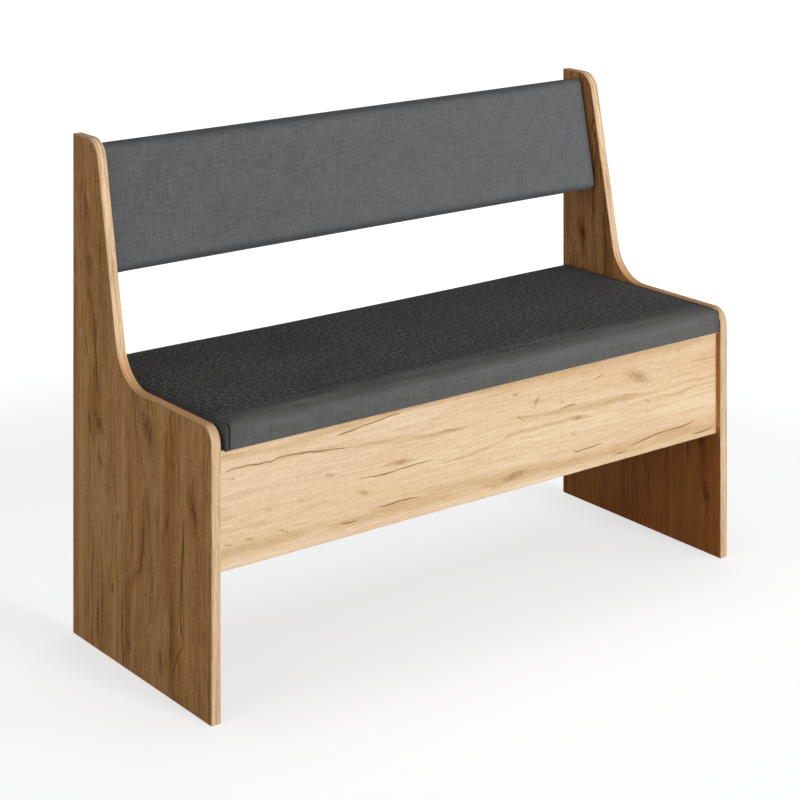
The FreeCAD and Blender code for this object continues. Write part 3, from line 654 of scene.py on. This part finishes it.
screw = screw_head()
frame_low, frame_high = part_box("hinge_frame_leaves")
lid_low, lid_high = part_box("hinge_lid_leaves")
pin_line = lid_high.y - LEAF_WIDTH
turns = random.Random(4)
frame_screws = []
lid_screws = []
for hinge_x in (lid_low.x + LEAF_HALF, lid_high.x - LEAF_HALF):
    for step in (-1, 0, 1):
        x = hinge_x + step * SCREW_SPACING
        spin = Matrix.Rotation(turns.uniform(0, math.pi), 4, "Z")
        on_panel = Matrix.Translation((x, frame_low.y + LEAF_THICKNESS, lid_low.z - SCREW_REACH))
        frame_screws.append(on_panel @ Matrix.Rotation(-math.pi / 2, 4, "X") @ spin)
        under_seat = Matrix.Translation((x, pin_line + SCREW_REACH, lid_high.z - LEAF_THICKNESS))
        lid_screws.append(under_seat @ Matrix.Rotation(math.pi, 4, "X") @ spin)
copies_of(screw, frame_screws, "hinge_screws_panel", plated_steel, "frame")
copies_of(screw, lid_screws, "hinge_screws_seat", plated_steel, "lid")

# The seat pad: foam on a chipboard lid, wrapped in charcoal linen-like cloth drawn tight over the
# edges, folded at the corners, and stapled to the board's underside with a cut margin.
chip_board, shader = new_material("chip_board", Specular_IOR_Level=0.2)
colour, flake = use_group(raw_chipboard, {"Vector": object_axes(chip_board)[0]}, "Colour", "Flake")
surface(shader, colour, flake, 0.1, 0.7, flake, 0.15 * MM, 0.5)
give(nodes["seat_board"], chip_board)

# The pad's form. Its cloth is cut into a fine net, held at the board and at the pad's ends, and its
# corners are drawn tight and folded
SEAT = SimpleNamespace(half_length=573 * MM, width=464 * MM, height=45.2 * MM, front_radius=21 * MM,
                       rear_radius=18 * MM, corner_radius=0, crown=3.2 * MM, pull=2 * MM,
                       ripple=0.5 * MM, front_drop=3 * MM)
seat_place = Matrix.Translation((0, -234.5 * MM, 443.8 * MM))
CLOTH_STEP = 9 * MM
BOARD_TOP = 19.2 * MM
HELD_TO = 28.5 * MM
HELD_END = 12 * MM
MARGIN = 24 * MM
MARGIN_DEPTH = 6 * MM
MARGIN_WANDER = 3 * MM
END_EDGE = 2.8 * MM
DROP_RUN = 60 * MM
TIGHT_RADIUS = 8 * MM
TIGHT_FROM = 90 * MM
TIGHT_RUN = 75 * MM
FOLD_PLACE = 6.5 * MM
FOLD_HALF_WIDTH = 1.6 * MM
FOLD_DEPTH = 3 * MM
FOLD_REACH = 26 * MM
FOLD_FADE = 20 * MM
BOARD_COVER = 0.7 * MM

# Plain-woven cloth: warp and weft pass over and under each other, and some yarns are thicker
YARN_PITCH = 0.9 * MM
linen_weave, into = new_group(
    "linen_weave", {"Vector": (0, 0, 0), "Pitch": 0.001},
    {"Height": "Float", "Slubs": "Float", "Clouds": "Float"})
along, around, _ = put("SeparateXYZ", {0: into["Vector"]}, X, Y, Z)
rate = calc("DIVIDE", math.pi, into["Pitch"])
warp = calc("SINE", along * rate)
weft = calc("SINE", around * rate)
over = calc("GREATER_THAN", warp * weft, 0.0)
slubs = grain(along, around, 0.0, 480, 26, 2, 0.65) + grain(along, around, 4.0, 26, 480, 2, 0.65)
send(linen_weave, Height=over * abs(warp) + (1 - over) * abs(weft), Slubs=slubs * 0.5,
     Clouds=grain(along, around, 8.0, 14, 14, 3, 0.6))

# Where the cloth's top has its nap and painted shade, measured round the pad from its front foot:
# where that begins and is full, and the share of the nap there. The faces round it are painted lighter
NAP_AND_SHADE_FRONT = (42 * MM, 128 * MM, 0.08, 1.0)
NAP_AND_SHADE_REAR = (525 * MM, 490 * MM, 0.1, 1.0)
# Painted light: the cloth's tone rises from this place along the pad to its right end
LIGHT_RAMP_FROM = -300 * MM
# Places round the pad, each as its middle and how far from it the cloth's change is gone and is full
DRAWN_LINES = (95 * MM, 55 * MM, 10 * MM)
# The place of the painted highlight on the seat's front rounding
FRONT_ROUNDING = (36 * MM, 17 * MM, 0)
# Painted shade where the cloth turns over, a painted highlight on the front rounding, and a painted shadow
# in the crease
EDGE_SHADE_TINT = (0.66, 0.66, 0.66, 1)
HIGHLIGHT_TINT = (1.21, 1.22, 1.26, 1)
CREASE_SHADOW_TINT = (0.12, 0.12, 0.12, 1)


def near(value, middle, gone, full):
    """1 within the full distance from the middle, and 0 from the gone distance on."""
    return spread(abs(value - middle), gone, full)


def cloth_material(name, dark, light, slubs, felt, felt_bump, pad, tone_and_painted_light, shaded_turns, folded):
    """Woven cloth between two tones. slubs is how much its thicker yarns show, and felt how much a
    crinkled nap shows over the weave on the pad's top, and how much lighter the faces round the top
    are painted. tone_and_painted_light is what its tone gains left of a place along the pad and at the
    right end: its own tone shifted, with painted light rising between them to the right. Painted shade
    darkens it where it turns over the pad's ends and at the shaded_turns places round the pad. Folded
    cloth has a painted shadow in its left front crease, and a painted highlight, with lines along the
    bench, over the front rounding."""
    material, shader = new_material(name, Specular_IOR_Level=0.25, Sheen_Weight=0.04, Sheen_Roughness=0.5)
    coords = put("UVMap", {}, tree=material.node_tree, uv_map="cloth")
    along, around, _ = put("SeparateXYZ", {0: coords}, X, Y, Z)
    weave, yarns, clouds = use_group(
        linen_weave, {"Vector": coords, "Pitch": YARN_PITCH}, "Height", "Slubs", "Clouds")
    crinkles = noise_at(coords, 165, 4, 0.8)
    nap_and_top_shade = spread(around, *NAP_AND_SHADE_FRONT) * spread(around, *NAP_AND_SHADE_REAR)
    tone = (yarns - 0.5) * slubs + 0.5 + (clouds - 0.5) * 0.4 + (weave - 0.6) * 0.35
    # The cloth's own tone shifted, and painted light rising to the right
    tone = tone + spread(along, LIGHT_RAMP_FROM, pad.half_length, *tone_and_painted_light, "LINEAR")
    # Painted light: the faces round the top are lighter than the top
    tone = tone + (1 - nap_and_top_shade) * (0.055 * felt)
    if folded:
        lines = grain(along, around, 6.0, 4, 150, 2, 0.6) - 0.5
        tone = tone + lines * near(around, *DRAWN_LINES) * 1.2
    worn = spread(grain(along, around, 12.0, 7, 14), 0.35, 0.65, 0.5, 1.3)
    napped = nap_and_top_shade ** 3
    tone = calc("MULTIPLY_ADD", crinkles - 0.5, napped * worn * felt, tone, clamp=True)
    to_end = pad.half_length - abs(along)
    # Painted shade where the cloth turns over the pad's ends and edges
    turned = spread(to_end, 20 * MM, 0)
    for edge in shaded_turns:
        turned = most(turned, near(around, edge, 20 * MM, 2 * MM))
    colour = tinted(turned, blend(tone, dark, light), EDGE_SHADE_TINT)
    if folded:
        # Painted highlight on the front rounding, fading toward the pad's ends
        drawn = near(around, *FRONT_ROUNDING) * spread(to_end, 15 * MM, 110 * MM)
        colour = tinted(drawn, colour, HIGHLIGHT_TINT)
        # Painted shadow in the left front crease
        painted_crease_shadow = near(along, FOLD_PLACE - pad.half_length, 2.6 * MM, 1.1 * MM)
        colour = tinted(painted_crease_shadow * spread(around, 62 * MM, 50 * MM), colour, CREASE_SHADOW_TINT)
    height = crinkles * felt_bump * napped + weave + yarns * 0.8
    surface(shader, colour, tone, 0.2, 0.68, height, 0.25 * MM, 0.6)
    return material


seat_cloth = cloth_material(
    "seat_cloth", (0.002, 0.0025, 0.0025, 1), (0.118, 0.118, 0.115, 1), slubs=1.5, felt=11, felt_bump=2.6,
    pad=SEAT, tone_and_painted_light=(-0.27, -0.13), shaded_turns=[], folded=True)


def edges_where(shape, holds):
    """The shape's edges with both ends at places where this holds."""
    return [edge for edge in shape.edges if all(holds(vert.co) for vert in edge.verts)]


def pad_blank(pad):
    """A block with rounded edges, divided into a fine even net. Without a corner radius its ends are
    tight, and have a fold's width marked off beside them."""
    half_length, width, height = pad.half_length, pad.width, pad.height
    shape = bmesh.new()
    bmesh.ops.create_cube(shape, size=1)
    bmesh.ops.scale(shape, verts=shape.verts, vec=(2 * half_length, width, height))
    bmesh.ops.translate(shape, verts=shape.verts, vec=(0, width / 2, height / 2))
    if pad.corner_radius:
        upright = [edge for edge in shape.edges if abs(edge.verts[0].co.z - edge.verts[1].co.z) > height / 2]
        round_off(shape, upright, pad.corner_radius, 4)
        rim = edges_where(shape, lambda co: abs(co.z - height) < MM)
        round_off(shape, rim, pad.front_radius, 6)
    else:
        for radius, y in ((pad.front_radius, 0), (pad.rear_radius, width)):
            long_edge = edges_where(shape, lambda co: abs(co.y - y) < MM and abs(co.z - height) < MM)
            round_off(shape, long_edge, radius, 7)
        ends = [edge for edge in edges_where(shape, lambda co: abs(abs(co.x) - half_length) < MM)
                if edge.verts[0].co.x * edge.verts[1].co.x > 0
                and not all(vert.co.z < MM for vert in edge.verts)]
        round_off(shape, ends, END_EDGE, 3)
    planes = []
    for direction, low, high in (((1, 0, 0), -half_length, half_length), ((0, 1, 0), 0, width),
                                 ((0, 0, 1), 0, height)):
        count = round((high - low) / CLOTH_STEP)
        planes += [(direction, low + (high - low) * step / count) for step in range(1, count)]
    if not pad.corner_radius:
        for end in (-1, 1):
            for aside in (-1, 0, 1):
                planes.append(((1, 0, 0), end * (half_length - FOLD_PLACE + aside * FOLD_HALF_WIDTH)))
    for direction, place in planes:
        bmesh.ops.bisect_plane(shape, geom=shape.verts[:] + shape.edges[:] + shape.faces[:],
                               plane_co=Vector(direction) * place, plane_no=direction, dist=0.4 * MM)
    return shape


def tighten_ends(shape, pad):
    """The front's broad rounding drawn to a small one where the corners are folded."""
    broad = pad.front_radius
    centre = pad.height - broad
    for vert in shape.verts:
        x, y, z = vert.co
        if y > broad or z < centre:
            continue
        turn = math.atan2(z - centre, broad - y)
        share = min(1, max(0, (abs(x) - pad.half_length + TIGHT_FROM) / TIGHT_RUN))
        share = share * share * (3 - 2 * share)
        radius = broad + (TIGHT_RADIUS - broad) * share
        inset = math.hypot(broad - y, z - centre) - broad
        vert.co.y = radius - (radius + inset) * math.cos(turn)
        vert.co.z = pad.height - radius + (radius + inset) * math.sin(turn)


def fold_corner(mesh, pad):
    """The crease down the left front corner, where the cloth is folded under. It is shallow over the
    board and deeper in the foam. At the right corner the fold turns round to the pad's end, and no crease is
    made there."""
    for vert in mesh.vertices:
        x, y, z = vert.co
        if abs(x + pad.half_length - FOLD_PLACE) > FOLD_HALF_WIDTH / 2 or y > FOLD_REACH or z < MM:
            continue
        share = min(1, max(0, (FOLD_REACH - y) / FOLD_FADE))
        inward = Vector((0, 1, -0.6 if z > 30 * MM else 0)).normalized()
        vert.co += inward * share * (FOLD_DEPTH if z > BOARD_TOP + 6 * MM else BOARD_COVER)


def lay_cloth(shape, pad):
    """The cloth's own map: along the bench, and round the pad from its front foot to its rear one."""
    shape.normal_update()
    layer = shape.loops.layers.uv.new("cloth")
    for face in shape.faces:
        for loop in face.loops:
            x, y, z = loop.vert.co
            if abs(face.normal.x) > 0.75:
                loop[layer].uv = (y, z)
            elif face.normal.z < -0.5:
                loop[layer].uv = (x, -y)
            elif face.normal.y > 0.5:
                loop[layer].uv = (x, 2 * pad.height + y - z)
            else:
                loop[layer].uv = (x, y + z)


def crown_up(shape, pad):
    """Foam that stands highest in the middle, draws its sides in, and is never quite even."""
    for vert in shape.verts:
        x, y, z = vert.co
        if z < BOARD_TOP:
            continue
        run = x / pad.half_length
        aside = 2 * y / pad.width - 1
        along = 1 - run ** 2
        across = max(0, 1 - aside ** 2)
        lift = (z - BOARD_TOP) / (pad.height - BOARD_TOP)
        drop = pad.front_drop * max(0, 1 - y / DROP_RUN) ** 2 * (1 - run ** 8)
        uneven = pad.ripple * noise.noise(Vector((x * 9, y * 9, 1.7))) * across
        vert.co.z = z + lift * (pad.crown * along * across ** 0.6 + uneven - drop)
        if abs(aside) > 0.9:
            vert.co.y = y - pad.pull * along * lift * aside


def swell(piece, pinned, cap):
    """Cloth drawn over the foam: a short simulation under pressure, whose moves are capped."""
    rest = [vert.co.copy() for vert in piece.data.vertices]
    group = piece.vertex_groups.new(name="held")
    for vert in piece.data.vertices:
        group.add([vert.index], pinned(vert.co), "REPLACE")
    sim = piece.modifiers.new("tension", "CLOTH")
    sim.settings.quality = 6
    sim.settings.mass = 0.3
    sim.settings.tension_stiffness = 40
    sim.settings.compression_stiffness = 40
    sim.settings.shear_stiffness = 20
    sim.settings.bending_stiffness = 2
    sim.settings.use_pressure = True
    sim.settings.uniform_pressure_force = 4
    sim.settings.effector_weights.gravity = 0
    sim.settings.vertex_group_mass = "held"
    sim.collision_settings.use_collision = False
    sim.point_cache.frame_start = 1
    sim.point_cache.frame_end = 20
    scene = bpy.context.scene
    for step in range(1, 21):
        scene.frame_set(step)
    ready = piece.evaluated_get(bpy.context.evaluated_depsgraph_get())
    moved = [vert.co.copy() for vert in ready.data.vertices]
    piece.modifiers.remove(sim)
    scene.frame_set(1)
    for vert, start, end in zip(piece.data.vertices, rest, moved):
        move = end - start
        if move.length > cap:
            move = move.normalized() * cap
        vert.co = start + move
    piece.vertex_groups.remove(group)


def open_underside(shape, pad):
    """The margin turned in under the board, with its cut edge, and the board left bare inside it."""
    inside = []
    for face in shape.faces:
        x, y, z = face.calc_center_median()
        within = abs(x) < pad.half_length - MARGIN and MARGIN < y < pad.width - MARGIN
        if face.normal.z < -0.9 and z < MM and within:
            inside.append(face)
    rim = {vert for face in inside for edge in face.edges for vert in edge.verts
           if any(other not in inside for other in edge.link_faces)}
    # Unseeded, Blender takes this noise's offsets from the clock
    noise.seed_set(5)
    for vert in rim:
        ragged = noise.noise_vector(vert.co * 70 + Vector((0, 0, 3.1)))
        vert.co.x += MARGIN_WANDER * ragged.x
        vert.co.y += MARGIN_WANDER * ragged.y
    lifted = bmesh.ops.extrude_face_region(shape, geom=inside)["geom"]
    new_verts = [item for item in lifted if isinstance(item, bmesh.types.BMVert)]
    bmesh.ops.translate(shape, verts=new_verts, vec=(0, 0, MARGIN_DEPTH))
    bmesh.ops.delete(shape, geom=inside, context="FACES_ONLY")


def stuffed_pad(name, pad, place, swelling, body, replaced, material):
    """A foam pad wrapped in cloth, made in the pad's own place and then moved to where it goes."""
    shape = pad_blank(pad)
    shape.normal_update()
    open_underside(shape, pad)
    if not pad.corner_radius:
        tighten_ends(shape, pad)
    crown_up(shape, pad)
    lay_cloth(shape, pad)
    mesh = mesh_of(shape, name)
    piece = add_object(name, mesh)
    held_end = pad.half_length - HELD_END
    swell(piece, lambda co: 1.0 if co.z < HELD_TO or abs(co.x) > held_end else 0.0, swelling)
    if not pad.corner_radius:
        fold_corner(mesh, pad)
    mesh.transform(place)
    mesh.shade_smooth()
    smooth = piece.modifiers.new("fine", "SUBSURF")
    smooth.levels = 1
    smooth.render_levels = 1
    mesh.materials.append(material)
    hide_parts(*replaced)
    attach(piece, body)


stuffed_pad("seat_pad", SEAT, seat_place, 3 * MM, "lid", ("seat_cover", "seat_foam"),
            seat_cloth)

# The staples: short steel crowns shot through the cloth's turned-in margin into the board's
# underside, in a row along each side of the pad, none quite in line.
STAPLE_SIZE = (11 * MM, 1.3 * MM, 0.7 * MM)
STAPLE_ROUNDING = 0.2 * MM
STAPLE_SPACING = 34 * MM
END_ROW_INSET = 14 * MM
LONG_ROW_SPARE = 50 * MM
END_ROW_SPARE = 30 * MM


def staple_crown():
    """A staple's crown lying along X on the origin, its edges rounded and its legs in the board."""
    shape = bmesh.new()
    bmesh.ops.create_cube(shape, size=1)
    bmesh.ops.scale(shape, verts=shape.verts, vec=STAPLE_SIZE)
    round_off(shape, shape.edges[:], STAPLE_ROUNDING, 1)
    return mesh_of(shape, "staple_crown")


def staple_rows(pad, inset, place):
    """Places for the staples round a pad's underside, the long rows this far from its edges."""
    aim = random.Random(11)
    places = []
    end_x = pad.half_length - END_ROW_INSET
    long_row = 2 * pad.half_length - LONG_ROW_SPARE
    end_row = pad.width - 2 * inset - END_ROW_SPARE
    rows = [((0, inset), 0, long_row), ((0, pad.width - inset), 0, long_row),
            ((-end_x, pad.width / 2), math.pi / 2, end_row), ((end_x, pad.width / 2), math.pi / 2, end_row)]
    for (x, y), turn, length in rows:
        count = round(length / STAPLE_SPACING)
        for step in range(count + 1):
            run = Matrix.Rotation(turn, 4, "Z") @ Vector(((step / count - 0.5) * length, 0, 0))
            spot = Vector((x, y, -0.1 * MM)) + run
            spot += Vector((aim.uniform(-2, 2), aim.uniform(-1.5, 1.5), 0)) * MM
            slant = Matrix.Rotation(turn + aim.uniform(-0.15, 0.15), 4, "Z")
            places.append(place @ Matrix.Translation(spot) @ slant)
    return places


staple = staple_crown()
copies_of(staple, staple_rows(SEAT, 10 * MM, seat_place), "seat_staples", plated_steel,
          "lid")

# The backrest pad: foam on a chipboard panel, wrapped in a paler linen-like cloth and stapled behind.
# Cam fittings in its back hold it between the sides, leaning as their slope does.
BACKREST = SimpleNamespace(half_length=579 * MM, width=230 * MM, height=44 * MM, front_radius=11 * MM,
                           rear_radius=11 * MM, corner_radius=13 * MM, crown=2 * MM, pull=2 * MM,
                           ripple=0.4 * MM, front_drop=0)
LEAN = math.atan(0.20702)
backrest_place = (Matrix.Translation((0, 169.3 * MM, 655.7 * MM))
                  @ Matrix.Rotation(math.pi / 2 - LEAN, 4, "X"))
backrest_cloth = cloth_material(
    "backrest_cloth", (0.060, 0.062, 0.066, 1), (0.142, 0.147, 0.155, 1), slubs=2.6, felt=0.8,
    felt_bump=0.5, pad=BACKREST, tone_and_painted_light=(-0.03, 0.17), shaded_turns=[42 * MM, 276 * MM], folded=False)
give(nodes["backrest_board"], chip_board)
stuffed_pad("backrest_pad", BACKREST, backrest_place, 2.5 * MM, "frame",
            ("backrest_cover", "backrest_foam"), backrest_cloth)
copies_of(staple, staple_rows(BACKREST, 14 * MM, backrest_place), "backrest_staples", plated_steel,
          "frame")

# The floor and the studio: a pale floor that fades into a white ground, a broad soft lamp in front
# and to the right, and weak light from above and all round.
FLOOR_HALF = 30
FLOOR_GAP = 0.2 * MM
FLOOR_TONES = ((0.58, 0.593, 0.598, 1), (0.60, 0.612, 0.618, 1))
GROUND_TONE = (0.643, 0.646, 0.65, 1)
BOUNCE_TONE = (0.3, 0.3, 0.3, 1)
shape = bmesh.new()
bmesh.ops.create_grid(shape, x_segments=24, y_segments=24, size=FLOOR_HALF)
bmesh.ops.translate(shape, verts=shape.verts, vec=(0, 0, -FLOOR_GAP))
floor = add_object("floor", mesh_of(shape, "floor"))
floor_material = bpy.data.materials.new("pale_floor")
floor_material.use_nodes = True
tree = floor_material.node_tree
tree.nodes.clear()
coords = object_axes(floor_material)[0]
floor_tone = blend(noise_at(coords, 40, 3), *FLOOR_TONES)
distance = put("VectorMath", {0: coords}, "Value", operation="LENGTH")
ground_tone = blend(spread(distance, 1.0, 2.5), GROUND_TONE, WHITE)
lit = put("BsdfDiffuse", {"Color": floor_tone})
returned = put("BsdfDiffuse", {"Color": BOUNCE_TONE}, tree=tree)
ground = put("Emission", {"Color": ground_tone, "Strength": 1.0})
seen, mirrored = put("LightPath", {}, "Is Camera Ray", "Is Glossy Ray", tree=tree)
both = put("AddShader", {0: lit, 1: ground})
mixed = put("MixShader", {0: most(seen, mirrored), 1: returned, 2: both})
tree.links.new(mixed.socket, tree.nodes.new("ShaderNodeOutputMaterial").inputs["Surface"])
floor.data.materials.append(floor_material)

# The light from all round is strongest at the horizon and weakest overhead
AROUND_STRENGTH = (0.36, 0.07)
world = bpy.data.worlds.new("studio")
bpy.context.scene.world = world
world.use_nodes = True
tree = world.node_tree
tree.nodes.clear()
seen, through = put("LightPath", {}, "Is Camera Ray", "Is Transmission Ray", tree=tree)
facing = put("TexCoord", {}, "Generated", tree=tree)
height = put("SeparateXYZ", {0: facing}, Z)
strength = spread(height, 0.0, 0.9, *AROUND_STRENGTH, "LINEAR")
around = put("Background", {"Color": WHITE, "Strength": strength})
white = put("Background", {"Color": WHITE, "Strength": 1.0}, tree=tree)
mixed = put("MixShader", {0: most(seen, through), 1: around, 2: white})
tree.links.new(mixed.socket, tree.nodes.new("ShaderNodeOutputWorld").inputs["Surface"])


def soft_lamp(name, spot, aim, size, power):
    lamp = bpy.data.lights.new(name, "AREA")
    lamp.shape = "DISK"
    lamp.size = size
    lamp.energy = power
    holder = add_object(name, lamp)
    holder.location = spot
    holder.rotation_euler = (Vector(aim) - Vector(spot)).to_track_quat("-Z", "Y").to_euler()
    holder.visible_camera = False


soft_lamp("front_lamp", (1.6, -9.5, 1.5), (0, 0, 0.45), size=3.4, power=840)
soft_lamp("right_lamp", (2.0, -1.8, 2.0), (0.4, 0, 0.6), size=1.5, power=8)
soft_lamp("left_lamp", (-3.4, -0.8, 1.4), (0, 0, 0.4), size=2.0, power=13.5)
soft_lamp("top_lamp", (0.3, 0.6, 4.2), (0, 0, 0.3), size=3.0, power=34)

# The camera stands where the photograph was taken from. The photograph keeps its upright edges
# parallel, as a view camera with an upright back does: the camera looks down at the bench while its
# picture plane stays upright. The stand's matrix gives that plane, with no lens shift.
CAMERA_SPOT = (-2.5461, -3.2926, 1.6688)
CAMERA_YAW = math.radians(37.329)
FOCAL_PIXELS = 2209.9
HORIZON_PIXELS = 692.9
PICTURE_PIXELS = 800
SENSOR = 36
FARTHEST_SEEN = 200
look_down = math.atan(HORIZON_PIXELS / FOCAL_PIXELS)
ahead = Vector((math.sin(CAMERA_YAW), math.cos(CAMERA_YAW), 0))
up = Vector((0, 0, 1))
right = Vector((math.cos(CAMERA_YAW), -math.sin(CAMERA_YAW), 0))
behind = up * math.sin(look_down) - ahead * math.cos(look_down)
picture_plane = Matrix((right, up, behind)).transposed().to_4x4()
camera_data = bpy.data.cameras.new("camera")
camera_data.sensor_width = SENSOR
camera_data.lens = FOCAL_PIXELS / math.cos(look_down) * SENSOR / PICTURE_PIXELS
camera_data.clip_end = FARTHEST_SEEN
camera = add_object("camera", camera_data)
camera.parent = add_object("camera_stand", None)
camera.matrix_parent_inverse = Matrix.Translation(CAMERA_SPOT) @ picture_plane
bpy.context.scene.camera = camera
bpy.context.scene.view_settings.view_transform = "Standard"
